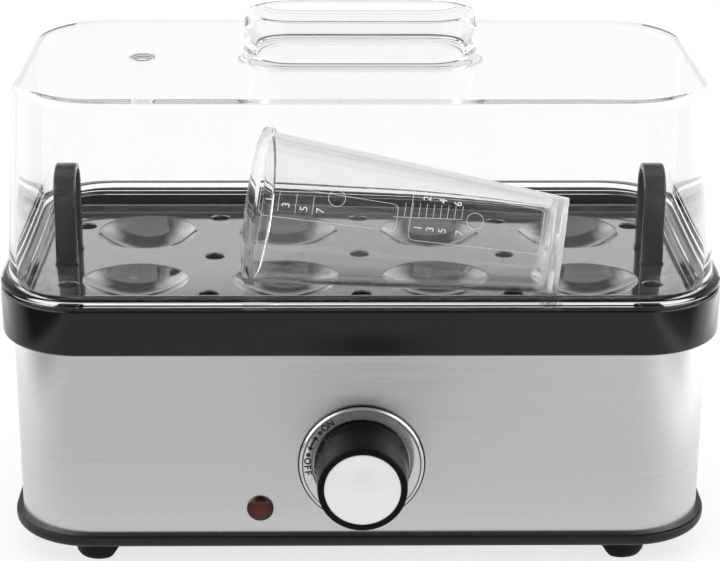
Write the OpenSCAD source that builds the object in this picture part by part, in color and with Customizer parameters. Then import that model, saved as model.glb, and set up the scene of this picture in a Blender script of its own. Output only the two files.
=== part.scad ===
// Egg cooker for eight eggs: steel sleeve on a moulded base, black collar, water pan with a
// sheathed heater, lift-out egg tray, measuring cup with a piercing pin, and a clear lid.

/* [Body] */
// Overall width of the collar, left to right
collar_w = 255; // [240:1:280]
// Overall depth of the collar, front to back
collar_d = 140; // [132:1:160]
// Plan radius of the collar's corners
corner_r = 30; // [24:1:36]
// Height of the steel sleeve's lower edge above the worktop
sleeve_z = 14; // [12:0.5:18]
// Height of the collar's lower edge above the worktop
collar_z = 83.5; // [78:0.5:95]
// Height of the black collar band
collar_h = 17.2; // [14:0.2:22]
// Thickness of the steel sheet
sheet_t = 0.8; // [0.6:0.1:1.2]

/* [Egg tray] */
// Distance between neighbouring eggs along a row
egg_pitch = 54; // [50:0.5:58]
// Distance between the two rows
row_pitch = 55; // [52:0.5:58]
// Radius of an egg recess at its rounded lip
recess_r = 19.4; // [17:0.1:21]
// Depth of an egg recess below the tray's floor
recess_depth = 8; // [5:0.5:10]
// Height of the two lifting loops above the tray's floor
loop_h = 36; // [28:1:40]
// Outside depth of a lifting loop, front to back
loop_d = 20; // [16:1:26]

/* [Lid] */
// Height of the lid's flat top above the collar
lid_h = 71.2; // [64:0.5:80]
// Wall thickness of the clear lid
lid_t = 2; // [1.6:0.1:2.6]
// Overall length of the lid's grip
grip_w = 83; // [70:1:95]
// Height of the grip above the lid's top
grip_h = 16.8; // [12:0.2:22]
// Radius of the steam vent
vent_r = 4.4; // [3:0.1:5.5]

/* [Dial] */
// Height of the dial's centre above the worktop
dial_z = 41.5; // [38:0.5:46]
// Outside radius of the printed dial ring
bezel_r = 22.4; // [20:0.2:24]
// Radius of the knob's front edge
knob_r = 15.6; // [13:0.2:16.5]
// How far the knob stands out from the sleeve
knob_l = 22; // [16:0.5:26]
// Radius of the bright disc in the knob's face
disc_r = 13.3; // [10:0.1:13.6]

/* [Measuring cup] */
// Outside radius of the cup's mouth
mouth_r = 29.2; // [26:0.2:30]
// Outside radius of the cup's base
base_r = 17.6; // [15:0.2:18]
// Length of the cup from base to mouth
cup_l = 110; // [100:1:112]

/* [Hidden] */
$fn = 64;
e = 0.01;
collar_top = collar_z + collar_h;
sleeve_w = collar_w - 7;
sleeve_d = collar_d - 7;
sleeve_r = corner_r - 2;
open_w = collar_w - 11.6;
open_d = collar_d - 14.4;
ledge_z = collar_top - 7.2;
floor_z = ledge_z + 2;
lid_top = collar_top + lid_h;
face_y = -sleeve_d / 2;
knob_y = face_y - knob_l;
// the knob reaches further out than the collar, so the body sits back by half of that
body_y = -(knob_y + collar_d / 2) / 2;
post = [[-110, -53], [110, -53], [-110, 53], [110, 53]];
foot = [[-94.8, -53], [94.8, -53], [-94.8, 53], [94.8, 53]];
gland_at = [72, 32];
pan_w = 212; pan_d = 106; pan_z = 68;
blk = [-78, 30];

// ---- shared shapes ----
module at_body() { translate([0, body_y, 0]) children(); }

module round_rect(w, d, r) {
    square([w - 2 * r, d], center = true);
    square([w, d - 2 * r], center = true);
    for (x = [-1, 1], y = [-1, 1]) translate([x * (w / 2 - r), y * (d / 2 - r)]) circle(r);
}

module slab(w, d, r, z0, z1) { translate([0, 0, z0]) linear_extrude(z1 - z0) round_rect(w, d, r); }

// a slab whose lower edge is rounded to f0 and its upper edge to f1
module soft_slab(w, d, r, z0, z1, f0, f1) {
    side = concat([[0, z0]],
        [for (a = [0:15:90]) [r - f0 + f0 * sin(a), z0 + f0 - f0 * cos(a)]],
        [for (a = [0:15:90]) [r - f1 + f1 * cos(a), z1 - f1 + f1 * sin(a)]], [[0, z1]]);
    cx = w / 2 - r;
    cy = d / 2 - r;
    translate([-cx, -cy, z0]) cube([2 * cx, 2 * cy, z1 - z0]);
    for (q = [[cx, cy, 0], [-cx, cy, 90], [-cx, -cy, 180], [cx, -cy, 270]])
        translate([q[0], q[1], 0]) rotate(q[2]) rotate_extrude(angle = 90) polygon(side);
    for (q = [[cx, cy, 0, cy], [-cx, cy, 90, cx], [-cx, -cy, 180, cy], [cx, -cy, 270, cx]])
        translate([q[0], q[1], 0]) rotate(q[2]) rotate([90, 0, 0]) linear_extrude(2 * q[3]) polygon(side);
}

module frame_ring(w, d, r, t, z0, z1) {
    translate([0, 0, z0]) linear_extrude(z1 - z0) difference() {
        round_rect(w, d, r);
        round_rect(w - 2 * t, d - 2 * t, r - t);
    }
}

// one level of a lofted shell: a rounded rectangle as points
function level(w, d, r, z, n = 8) = [for (c = [0:3], i = [0:n])
    let (a = c * 90 + 90 * i / n, sx = (c == 0 || c == 3) ? 1 : -1, sy = c < 2 ? 1 : -1)
    [sx * (w / 2 - r) + r * cos(a), sy * (d / 2 - r) + r * sin(a), z]];

module loft(levels) {
    n = len(levels[0]);
    m = len(levels);
    polyhedron([for (l = levels) each l],
        concat([[for (i = [0:n - 1]) i]],
            [for (k = [0:m - 2], i = [0:n - 1])
                [k * n + i, (k + 1) * n + i, (k + 1) * n + (i + 1) % n, k * n + (i + 1) % n]],
            [[for (i = [n - 1:-1:0]) (m - 1) * n + i]]), convexity = 6);
}

// turned shapes that face the front: the profile's x is the radius, its y goes towards the viewer
module turned(y0, z0) { translate([0, y0, z0]) rotate([90, 0, 0]) rotate_extrude($fn = 96) children(); }

module screw(head_r, head_h, shank_r, len) {
    difference() {
        cylinder(r = head_r, h = head_h);
        translate([0, 0, -e]) rotate(15) linear_extrude(head_h * 0.55) union() {
            square([head_r * 1.1, 0.9], center = true);
            square([0.9, head_r * 1.1], center = true);
        }
    }
    translate([0, 0, head_h - e]) cylinder(r = shank_r, h = len - head_h + e);
}

module rod(a, b, r) {
    v = b - a;
    l = norm(v);
    translate(a) rotate([0, acos(v[2] / l), atan2(v[1], v[0])]) cylinder(r = r, h = l, $fn = 48);
}

module wire(points, r) {
    for (i = [0:len(points) - 2]) rod(points[i], points[i + 1], r);
    for (i = [1:len(points) - 2]) translate(points[i]) sphere(r * 1.12, $fn = 48);
}

// ---- lid ----
lid_base_w = collar_w - 4.4;
lid_base_d = collar_d - 10.6;
lid_lean_w = 7.4;
lid_lean_d = 8.8;
lid_round = 3.6;
module lid_form(t) {
    w0 = lid_base_w - 2 * t; d0 = lid_base_d - 2 * t;
    w1 = w0 - lid_lean_w; d1 = d0 - lid_lean_d;
    f = lid_round - (t > 0 ? 1.4 : 0);
    z0 = collar_top + (t > 0 ? 1.2 : 0);
    z1 = lid_top - t;
    loft(concat([level(w0, d0, corner_r - t, z0), level(w0, d0, corner_r - t, collar_top + 2.8)],
        [for (a = [0:15:90]) level(w1 - 2 * f * (1 - cos(a)), d1 - 2 * f * (1 - cos(a)),
            corner_r + 1.6 - t - f * (1 - cos(a)), z1 - f + f * sin(a))]));
}

function oval(l, d, z, n = 12) = [for (s = [0, 1], i = [0:n])
    let (a = -90 + s * 180 + 180 * i / n) [(s == 0 ? 1 : -1) * (l - d) / 2 + d / 2 * cos(a), d / 2 * sin(a), z]];

module grip() {
    difference() {
        loft([oval(grip_w + 6, 40, lid_top - lid_t), oval(grip_w + 5.6, 39.6, lid_top),
            oval(grip_w + 2.6, 36.6, lid_top + 0.9), oval(grip_w + 1.2, 35.2, lid_top + 3),
            oval(grip_w, 34.2, lid_top + grip_h - 0.6), oval(grip_w - 1, 33.2, lid_top + grip_h)]);
        loft([oval(grip_w - 8.6, 25.6, lid_top + 0.2), oval(grip_w - 5.8, 28.2, lid_top + 1.6),
            oval(grip_w - 5.2, 28.8, lid_top + grip_h - 0.8), oval(grip_w - 4.4, 29.6, lid_top + grip_h + 1)]);
    }
}

module lid() {
    color([0.85, 0.9, 0.92, 0.45]) at_body() difference() {
        union() {
            lid_form(0);
            slab(collar_w + 0.6, collar_d - 4, corner_r, collar_top, collar_top + 2.4);
            // rib that keeps the lid centred in the collar
            slab(open_w - 1, open_d - 1, 21.4, collar_top - 1.3, collar_top + 1);
            grip();
        }
        lid_form(lid_t);
        slab(open_w - 4, open_d - 4, 19.9, collar_top - 3, collar_top + 3);
        translate([-78.7, 0, lid_top - 6]) cylinder(r = vent_r, h = 12);
    }
}

// ---- egg tray ----
tray_w = open_w - 1.2;
tray_d = 105;
cols = [-1.5, -0.5, 0.5, 1.5];

// outline of a recess: a rounded lip that rolls into a shallow bowl
module recess_cut() {
    lip = 2.6;
    rotate_extrude($fn = 72) polygon(concat(
        [[0, 1], [recess_r, 1], [recess_r, 0]],
        [for (a = [15:15:75]) [recess_r - lip * sin(a), -lip * (1 - cos(a))]],
        [for (a = [0:10:90]) let (b = recess_r - lip, h = recess_depth - lip)
            [b * cos(a), -lip - h * sin(a)]]));
}

module recess_body() {
    lip = 1.2;
    rotate_extrude($fn = 72) polygon(concat([[0, -0.5], [recess_r - 0.2, -0.5]],
        [for (a = [0:10:90]) let (b = recess_r - lip, h = recess_depth - 0.8)
            [b * cos(a), -2 - h * sin(a)]]));
}

module egg_tray() {
    color("dimgray") at_body() difference() {
        union() {
            slab(tray_w, tray_d, 14, ledge_z, floor_z);
            frame_ring(tray_w, tray_d, 14, 1.9, floor_z - e, floor_z + 2.8);
            for (c = cols, s = [-1, 1]) translate([c * egg_pitch, s * row_pitch / 2, floor_z])
                recess_body();
            // stiffening ribs under the floor, between the bowls
            for (y = [-1, 1]) translate([-98, y * 50 - 0.8, ledge_z - 3]) cube([196, 1.6, 3.2]);
            for (x = [-1, 1]) translate([x * 101.5 - 0.8, -50, ledge_z - 3]) cube([1.6, 100, 3.2]);
        }
        for (c = cols, s = [-1, 1]) translate([c * egg_pitch, s * row_pitch / 2, floor_z])
            recess_cut();
        for (c = [-1:1], y = [-44, 0, 44]) translate([c * egg_pitch, y, ledge_z - 4])
            cylinder(r = 3.5, h = 8);
        for (x = [-1, 1], y = [-1, 1]) translate([x * 105, y * 34, ledge_z - 4])
            cylinder(r = 3.5, h = 8);
        // slots for the loops' tongues
        for (x = [-1, 1], y = [-1, 1]) translate([x * 108.2, y * (loop_d / 2 - 1.4), ledge_z])
            cube([5.2, 1.7, 6], center = true);
    }
}

// lifting loop: a strap bent into an arch, with tongues that snap through the tray
module tray_loop(side) {
    w = 8.2;
    r = loop_d / 2;
    translate([side * 108.2, body_y, floor_z]) {
        difference() {
            union() {
                translate([-w / 2, -r, 0]) cube([w, loop_d, loop_h - r]);
                translate([0, 0, loop_h - r]) rotate([0, 90, 0])
                    cylinder(r = r, h = w, center = true);
                // flared foot of each leg
                for (y = [-1, 1]) translate([-w / 2, y * (r - 0.2) - 1.6, 0]) cube([w, 3.2, 2.4]);
            }
            translate([-w, -r + 2.8, -1]) cube([2 * w, loop_d - 5.6, loop_h - r + 1]);
            translate([0, 0, loop_h - r]) rotate([0, 90, 0])
                cylinder(r = r - 2.8, h = 2 * w, center = true);
        }
        for (y = [-1, 1]) translate([-2.5, y * (r - 1.4) - 0.75, -3.4]) cube([5, 1.5, 3.4 + e]);
    }
}
module tray_handle_left() { color("black") tray_loop(-1); }
module tray_handle_right() { color("black") tray_loop(1); }

// ---- measuring cup, lying on the tray with its mouth to the left ----
mouth_pt = [-40.2, -26.4, floor_z];
base_pt = [69.5, -41.4, floor_z + 0.6];
mouth_bead = 1.1;
cup_yaw = atan2(mouth_pt[1] - base_pt[1], mouth_pt[0] - base_pt[0]);
cup_flat = norm([mouth_pt[0] - base_pt[0], mouth_pt[1] - base_pt[1]]);
cup_rise = atan((mouth_r - mouth_bead - base_r) / cup_l) + atan((mouth_pt[2] - base_pt[2]) / cup_flat);
module at_cup() {
    s = base_r * sin(cup_rise);
    translate([base_pt[0] - s * cos(cup_yaw), body_y + base_pt[1] - s * sin(cup_yaw),
        base_pt[2] + base_r * cos(cup_rise)]) rotate([0, 90 - cup_rise, cup_yaw]) children();
}

module measuring_cup() {
    wall = 1.5;
    // radius of the outside at a height above the base
    function out(z) = base_r + (mouth_r - mouth_bead - base_r) * z / cup_l;
    color([0.9, 0.95, 1, 0.4]) at_cup() difference() {
        rotate_extrude($fn = 96) polygon([[3.2, 3.6], [3.2, 2.2], [base_r - 2.4, 2.2], [base_r - 2.4, 0],
            [base_r - 0.4, 0], [base_r, 0.4], [out(cup_l - 4), cup_l - 4], [mouth_r - 0.2, cup_l - 3.2],
            [mouth_r, cup_l - 2.8], [mouth_r, cup_l - 0.3], [mouth_r - 0.3, cup_l], [out(cup_l) - wall + 0.3, cup_l],
            [out(cup_l) - wall, cup_l - 0.3], [out(5.2) - wall, 5.2],
            [out(5.2) - wall - 1.2, 3.9], [5.4, 3.9], [4.2, 6.4], [1.25, 6.4], [1.25, 3.6]]);
    }
}

module piercing_pin() {
    color("silver") at_cup() rotate_extrude($fn = 32)
        polygon([[0, -0.4], [0.55, 1.2], [0.55, 2.0], [2.9, 2.0], [2.9, 3.5], [1.2, 3.5], [1.2, 6.2], [0, 6.2]]);
}

// ---- collar ----
module collar() {
    color([0.1, 0.1, 0.1]) at_body() difference() {
        union() {
            difference() {
                union() {
                    soft_slab(collar_w, collar_d, corner_r, collar_z, collar_top, 1.4, 1);
                    // tongue that locates the sleeve from inside
                    slab(sleeve_w - 2 * sheet_t - 0.2, sleeve_d - 2 * sheet_t - 0.2,
                        sleeve_r - sheet_t - 0.1, collar_z - 10, collar_z + 1);
                }
                slab(open_w, open_d, 22, ledge_z, collar_top + 1);
                slab(228, 116, 18, collar_z - 11, collar_top);
                // relief above the pan's flange and its seal
                slab(240, 126, 20, collar_z - 11, ledge_z - 3);
            }
            // screw posts, each held to the tongue by two webs
            for (p = post) {
                sx = sign(p[0]);
                sy = sign(p[1]);
                translate([p[0], p[1], 31]) cylinder(r = 4.6, h = ledge_z - 6 - 31);
                translate([p[0] + sx * 4, p[1], collar_z - 5]) cube([8, 1.8, 14], center = true);
                translate([p[0], p[1] + sy * 3.9, collar_z - 5]) cube([1.8, 7.8, 14], center = true);
            }
        }
        for (p = post) translate([p[0], p[1], 30]) cylinder(r = 1.6, h = 34);
        for (x = [-1, 1], y = [-1, 1]) translate([x * 116.5, y * 26, ledge_z - 4]) cylinder(r = 1.2, h = 3.2);
    }
}

// ---- steel sleeve ----
module housing() {
    color([0.72, 0.73, 0.74]) at_body() difference() {
        frame_ring(sleeve_w, sleeve_d, sleeve_r, sheet_t, sleeve_z, collar_z);
        // switch bush, its locating tab, lamp and cord
        translate([0, face_y + 3, dial_z]) rotate([90, 0, 0]) cylinder(r = 5.1, h = 6);
        translate([-11, face_y - 2, dial_z - 1.5]) cube([2.4, 4, 3]);
        translate([-36, face_y + 3, 24]) rotate([90, 0, 0]) cylinder(r = 4.1, h = 6);
        translate([gland_at[0], -face_y + 3, gland_at[1]]) rotate([90, 0, 0]) cylinder(r = 6.1, h = 6);
    }
}

// ---- base ----
module base_plate() {
    bw = collar_w - 2; bd = collar_d - 2.6;
    color([0.12, 0.12, 0.12]) at_body() difference() {
        union() {
            difference() {
                union() {
                    soft_slab(bw, bd, corner_r - 0.5, 9, 13.4, 2.5, 0.4);
                    slab(bw - 1.4, bd - 1.4, corner_r - 1.2, 13, sleeve_z);
                }
                slab(sleeve_w - 7, sleeve_d - 7, sleeve_r - 3.5, 11.4, 20);
            }
            // upstand inside the sleeve
            frame_ring(sleeve_w - 2 * sheet_t - 0.3, sleeve_d - 2 * sheet_t - 0.3,
                sleeve_r - sheet_t - 0.2, 2.2, 11, 19);
            for (p = post) translate([p[0], p[1], 9]) cylinder(r = 6, h = 22);
            // stiffening ribs across the floor
            for (x = [-60, -20, 20, 60]) translate([x - 0.9, -60, 11]) cube([1.8, 120, 3.4]);
            for (y = [-30, 0, 30]) translate([-116, y - 0.9, 11]) cube([232, 1.8, 3.4]);
            // seats for the feet
            for (p = foot) translate([p[0], p[1], 9]) cylinder(r = 8.6, h = 4.4);
            // terminal block post
            translate([blk[0] - 14, blk[1] - 9, 11]) cube([28, 18, 5]);
        }
        for (p = post) translate([p[0], p[1], 8]) {
            cylinder(r = 3.9, h = 12);
            cylinder(r = 2.1, h = 30);
        }
        for (p = foot) translate([p[0], p[1], 8]) cylinder(r = 3.1, h = 8);
        // vent slots under the heater
        for (i = [-3:3], s = [-1, 1]) translate([i * 9 - 1.2, s * 15 - 9, 8]) cube([2.4, 18, 8]);
    }
}

// foot: steep outside, slanting inside, round in plan, with a peg into the base
module foot_pad(i) {
    p = foot[i];
    s = p[0] > 0 ? 1 : -1;
    color([0.15, 0.15, 0.15]) translate([p[0], body_y + p[1], 0]) {
        intersection() {
            rotate([90, 0, 0]) linear_extrude(20, center = true) polygon([for (q = concat(
                [[8, 9], [7.3, 4.4]],
                [for (a = [15:15:90]) [3 + 4.2 * cos(a), 4.2 - 4.2 * sin(a)]],
                [for (a = [0:15:45]) [-0.4 - 5 * sin(a), 5 - 5 * cos(a)]], [[-8, 7.6], [-8, 9]]))
                [s * q[0], q[1]]]);
            union() {
                translate([0, 0, 4]) cylinder(r = 7.4, h = 6);
                rotate_extrude($fn = 64) polygon([[0, 0], [5.2, 0], [6.4, 0.8], [7.1, 2.2], [7.4, 4.2], [0, 4.2]]);
            }
        }
        translate([0, 0, 9 - e]) cylinder(r = 3, h = 4.2);
        translate([0, 0, 12.6]) cylinder(r = 3, h = 1);
    }
}
module foot_front_left() { foot_pad(0); }
module foot_front_right() { foot_pad(1); }
module foot_back_left() { foot_pad(2); }
module foot_back_right() { foot_pad(3); }

module base_screws() {
    color("silver") at_body() for (p = post) translate([p[0], p[1], 16.9]) screw(3.5, 3.1, 1.8, 36);
}

// ---- water pan and heater ----
module heating_pan() {
    color([0.6, 0.6, 0.62]) at_body() difference() {
        union() {
            slab(238.4, 124.4, 19, ledge_z - 5, ledge_z - 4);
            slab(pan_w, pan_d, 19, pan_z + 2, ledge_z - 4);
            slab(pan_w - 2.4, pan_d - 2.4, 17.8, pan_z + 0.8, pan_z + 2);
            slab(pan_w - 5.6, pan_d - 5.6, 16.2, pan_z, pan_z + 0.8);
        }
        slab(pan_w - 2.4, pan_d - 2.4, 17.8, pan_z + 3, ledge_z);
        slab(pan_w - 5.2, pan_d - 5.2, 16.4, pan_z + 1.8, ledge_z);
        slab(pan_w - 8.6, pan_d - 8.6, 14.7, pan_z + 1.2, ledge_z);
        for (x = [-1, 1], y = [-1, 1]) translate([x * 116.5, y * 26, ledge_z - 6]) cylinder(r = 1.7, h = 4);
    }
}

module pan_seal() {
    color([0.55, 0.55, 0.5]) at_body() difference() {
        frame_ring(237.4, 123.4, 18.7, 4.9, ledge_z - 4, ledge_z - 3);
        for (x = [-1, 1], y = [-1, 1]) translate([x * 116.5, y * 26, ledge_z - 5]) cylinder(r = 1.5, h = 4);
    }
}

module pan_screws() {
    color("silver") at_body() for (x = [-1, 1], y = [-1, 1])
        translate([x * 116.5, y * 26, ledge_z - 6.9]) screw(2.6, 1.9, 1.3, 5.6);
}

module heat_spreader() {
    color([0.8, 0.8, 0.82]) at_body() difference() {
        slab(170, 80, 20, pan_z - 2, pan_z);
        for (x = [-1, 1]) translate([x * 74, 0, pan_z - 3]) cylinder(r = 3, h = 4);
    }
}

// sheathed heater bent into a hairpin, with its cold ends turned down at the right
heat_r = 3.2;
module heating_element() {
    z = pan_z - 2 - heat_r;
    r = 26;
    color([0.35, 0.35, 0.37]) at_body() translate([0, 0, z]) {
        for (y = [-1, 1]) {
            translate([-50, y * r, 0]) rotate([0, 90, 0]) cylinder(r = heat_r, h = 104);
            translate([54, y * r, -8]) rotate([90, 0, 0]) rotate_extrude(angle = 90) translate([8, 0])
                circle(heat_r);
            translate([62, y * r, -14]) cylinder(r = heat_r, h = 6);
            translate([62, y * r, -22]) cylinder(r = 1.4, h = 9);
        }
        translate([-50, 0, 0]) rotate(90) rotate_extrude(angle = 180) translate([r, 0]) circle(heat_r);
    }
}

module thermostat() {
    color([0.85, 0.8, 0.7]) at_body() translate([0, 0, pan_z - 2]) {
        translate([0, 0, -1.6]) cylinder(r = 8.4, h = 1.6);
        translate([0, 0, -8]) cylinder(r = 7.6, h = 6.5);
        for (x = [-1, 1]) translate([x * 4.5 - 0.4, -3.1, -15]) cube([0.8, 6.2, 7.2]);
    }
}

module thermostat_clip() {
    color("silver") at_body() translate([0, 0, pan_z - 2]) {
        difference() {
            union() {
                translate([-19, -5, -2.4]) cube([38, 10, 0.8]);
                translate([0, 0, -2.4]) cylinder(r = 10.4, h = 0.8);
                for (x = [-1, 1]) translate([x * 17, 0, -2.4]) cylinder(r = 5.4, h = 0.8);
            }
            translate([0, 0, -4]) cylinder(r = 7.8, h = 6);
        }
        for (x = [-1, 1]) translate([x * 17, 0, -2.4]) cylinder(r = 1.6, h = 2.4);
    }
}

module thermal_fuse() {
    color([0.9, 0.9, 0.88]) at_body() translate([40, 0, pan_z - 2 - 2.3]) {
        translate([-11, 0, 0]) rotate([0, 90, 0]) cylinder(r = 2.3, h = 22);
        for (x = [-1, 1]) translate([x * 11, 0, 0]) rotate([0, x * 90, 0]) cylinder(r = 0.5, h = 6);
    }
}

module terminal_block() {
    color("ivory") at_body() translate([blk[0], blk[1], 16]) difference() {
        union() {
            translate([-13, -8, 0]) cube([26, 16, 9]);
            for (x = [-8, 0, 8]) translate([x, 0, 9 - e]) cylinder(r = 3.2, h = 3);
        }
        for (x = [-8, 0, 8]) {
            translate([x, 0, 5]) cylinder(r = 2, h = 8);
            translate([x, -9, 4.5]) rotate([-90, 0, 0]) cylinder(r = 1.25, h = 18);
        }
    }
}

// ---- switch and dial ----
module switch_body() {
    y0 = face_y + sheet_t;
    color([0.2, 0.2, 0.22]) at_body() difference() {
        union() {
            translate([-16, y0, dial_z - 15]) cube([32, 19, 30]);
            translate([0, y0 + e, dial_z]) rotate([90, 0, 0]) cylinder(r = 5, h = 5.4);
            translate([-10.8, y0 - 1.6, dial_z - 1.2]) cube([2, 2, 2.4]);
            for (x = [-9, 9]) translate([x - 0.4, y0 + 18, dial_z - 3]) cube([0.8, 8, 6]);
        }
        translate([0, y0 + 12, dial_z]) rotate([90, 0, 0]) cylinder(r = 3.06, h = 30);
    }
}

module switch_nut() {
    color("silver") at_body() translate([0, face_y, dial_z]) rotate([90, 0, 0]) difference() {
        cylinder(r = 7.6, h = 2.2, $fn = 6);
        translate([0, 0, -1]) cylinder(r = 5.02, h = 5, $fn = 64);
    }
}

module switch_shaft() {
    color("silver") at_body() translate([0, face_y + 10, dial_z]) rotate([90, 0, 0]) difference() {
        cylinder(r = 3, h = 27);
        translate([1.6, -5, 17]) cube([5, 10, 12]);
    }
}

module knob() {
    color([0.08, 0.08, 0.08]) at_body() difference() {
        turned(face_y, dial_z) polygon(concat(
            [[0, knob_l], [0, knob_l - 1.6], [disc_r + 0.1, knob_l - 1.6], [disc_r + 0.1, knob_l - 0.2]],
            [[knob_r - 0.7, knob_l], [knob_r, knob_l - 0.7], [knob_r + 0.9, 3.4], [knob_r + 1.2, 2.6],
             [knob_r + 1.2, 0.6], [knob_r - 0.6, 0.6], [knob_r - 1.4, knob_l - 4.6], [6.4, knob_l - 4.6],
             [6.4, 8], [0, 8]]));
        translate([0, face_y - knob_l + 4, dial_z]) rotate([-90, 0, 0]) difference() {
            cylinder(r = 3.03, h = 20);
            translate([1.65, -5, -1]) cube([5, 10, 9.6]);
        }
    }
}

module knob_disc() {
    color([0.85, 0.85, 0.86]) at_body() turned(face_y, dial_z)
        polygon([[0, knob_l - 1.6], [0, knob_l - 0.3], [disc_r - 0.5, knob_l - 0.3],
            [disc_r, knob_l - 0.6], [disc_r, knob_l - 1.6]]);
}

module dial_bezel() {
    color([0.85, 0.85, 0.87]) at_body() turned(face_y, dial_z)
        polygon(concat([[bezel_r - 5.0, 0], [bezel_r, 0]],
            [for (a = [0:15:90]) [bezel_r - 1.4 + 1.4 * cos(a), 0.8 + 1.4 * sin(a)]],
            [[bezel_r - 2.2, 1.6], [bezel_r - 4.6, 1.2], [bezel_r - 5.0, 0.8]]));
}

module indicator_lens() {
    color([0.7, 0.05, 0.05]) at_body() translate([-36, 0, 0]) turned(face_y, 24)
        polygon([[0, -6], [3.4, -6], [3.4, -5], [4, -5], [4, 0], [4.75, 0], [4.75, 0.6],
            [4.3, 1.0], [3.0, 1.3], [0, 1.4]]);
}

module indicator_lamp() {
    color([0.9, 0.85, 0.8]) at_body() translate([-36, face_y + 6, 24]) {
        rotate([-90, 0, 0]) cylinder(r = 2.4, h = 11);
        for (x = [-1, 1]) translate([x * 1.2, 11, 0]) rotate([-90, 0, 0]) cylinder(r = 0.4, h = 5);
    }
}

// ---- cord entry at the back ----
module cord_gland() {
    color([0.1, 0.1, 0.1]) at_body() translate([gland_at[0], -face_y, gland_at[1]]) rotate([-90, 0, 0])
        difference() {
            union() {
                rotate_extrude($fn = 64) polygon([[0, 0], [8.6, 0], [8.6, 1.4], [8, 2.2], [5.6, 2.6], [0, 2.6]]);
                translate([0, 0, -12]) cylinder(r = 6, h = 12 + e);
            }
            translate([0, 0, -13]) cylinder(r = 3.6, h = 20);
        }
}

module gland_nut() {
    color([0.15, 0.15, 0.15]) at_body() translate([gland_at[0], -face_y - sheet_t, gland_at[1]])
        rotate([90, 0, 0]) difference() {
            cylinder(r = 10, h = 4, $fn = 6);
            translate([0, 0, -1]) cylinder(r = 6, h = 7, $fn = 64);
        }
}

// ---- internal wires ----
module wire_live() {
    color("brown") at_body() wire([[blk[0] - 8, blk[1] - 2, 20.5], [blk[0] - 8, blk[1] - 26, 20.5],
        [-9, face_y + 34, 22], [-9, face_y + 34, dial_z], [-9, face_y + sheet_t + 26, dial_z]], 1.2);
}
module wire_neutral() {
    color("royalblue") at_body() wire([[blk[0] + 8, blk[1] - 2, 20.5], [blk[0] + 8, blk[1] - 14, 20.5],
        [16, 6, 20.5], [62, 26, 28], [62, 26, pan_z - 2 - heat_r - 22]], 1.2);
}
module wire_earth() {
    color("olive") at_body() wire([[blk[0], blk[1] - 2, 20.5], [blk[0], blk[1] - 16, 20.5],
        [-40, -10, 30], [-40, -10, pan_z - 2]], 1.2);
}

lid();
egg_tray();
tray_handle_left();
tray_handle_right();
measuring_cup();
piercing_pin();
collar();
housing();
base_plate();
foot_front_left();
foot_front_right();
foot_back_left();
foot_back_right();
base_screws();
heating_pan();
pan_seal();
pan_screws();
heat_spreader();
heating_element();
thermostat();
thermostat_clip();
thermal_fuse();
terminal_block();
switch_body();
switch_nut();
switch_shaft();
knob();
knob_disc();
dial_bezel();
indicator_lens();
indicator_lamp();
cord_gland();
gland_nut();
wire_live();
wire_neutral();
wire_earth();
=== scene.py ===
import math
import bpy
import bmesh
from math import cos, sin, pi, radians, sqrt, atan2
from mathutils import Matrix, Vector
from mathutils.geometry import delaunay_2d_cdt


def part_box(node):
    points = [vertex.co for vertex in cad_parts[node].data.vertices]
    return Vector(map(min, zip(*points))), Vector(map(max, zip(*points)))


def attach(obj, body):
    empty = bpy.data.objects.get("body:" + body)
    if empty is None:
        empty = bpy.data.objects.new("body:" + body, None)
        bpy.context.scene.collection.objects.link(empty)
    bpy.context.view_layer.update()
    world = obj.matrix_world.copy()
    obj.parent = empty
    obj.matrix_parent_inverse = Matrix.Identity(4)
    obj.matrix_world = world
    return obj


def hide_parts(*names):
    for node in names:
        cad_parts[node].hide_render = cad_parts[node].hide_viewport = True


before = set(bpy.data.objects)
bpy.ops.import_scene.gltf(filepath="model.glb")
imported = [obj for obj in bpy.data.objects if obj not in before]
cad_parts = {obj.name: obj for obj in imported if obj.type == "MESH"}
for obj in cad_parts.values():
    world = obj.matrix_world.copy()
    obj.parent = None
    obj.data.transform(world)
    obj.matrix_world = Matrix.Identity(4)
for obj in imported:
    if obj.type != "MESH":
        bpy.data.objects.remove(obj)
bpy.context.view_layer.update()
mm = 0.001
scene = bpy.context.scene
scene.view_settings.view_transform = "Standard"
print("stage: frame loaded")

# the frame's own places, which every piece is set out from
collarLow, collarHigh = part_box("collar")
bezelLow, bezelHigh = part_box("dial_bezel")
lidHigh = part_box("lid")[1]
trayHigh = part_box("egg_tray")[1]
bodyY = (collarLow.y + collarHigh.y) / 2
faceY = bezelHigh.y
dialZ = (bezelLow.z + bezelHigh.z) / 2


# ---- camera ----
cameraValues = {"place": (-0.0119, -0.74265, 0.3676), "pitch": 69.44, "yaw": -0.92, "roll": 0.27, "lens": 107}


def addCamera(values):
    data = bpy.data.cameras.new("camera")
    data.lens = values["lens"]
    data.sensor_width = 36
    camera = bpy.data.objects.new("camera", data)
    scene.collection.objects.link(camera)
    yaw, pitch, roll = (Matrix.Rotation(radians(values[turn]), 4, axis)
                        for turn, axis in (("yaw", "Z"), ("pitch", "X"), ("roll", "Z")))
    camera.matrix_world = Matrix.Translation(values["place"]) @ yaw @ pitch @ roll
    scene.camera = camera


addCamera(cameraValues)
# light is thrown about many times inside the clear walls before it leaves them
lightBounces = 40
scene.cycles.max_bounces = lightBounces
scene.cycles.glossy_bounces = lightBounces
scene.cycles.transmission_bounces = lightBounces


# ---- materials ----
def startMaterial(name):
    material = bpy.data.materials.new(name)
    material.use_nodes = True
    return (material, *materialParts(material))


def materialParts(material):
    nodes, links = material.node_tree.nodes, material.node_tree.links
    place = nodes.new("ShaderNodeTexCoord")
    return nodes, links, nodes["Principled BSDF"], place.outputs["Object"]


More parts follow.
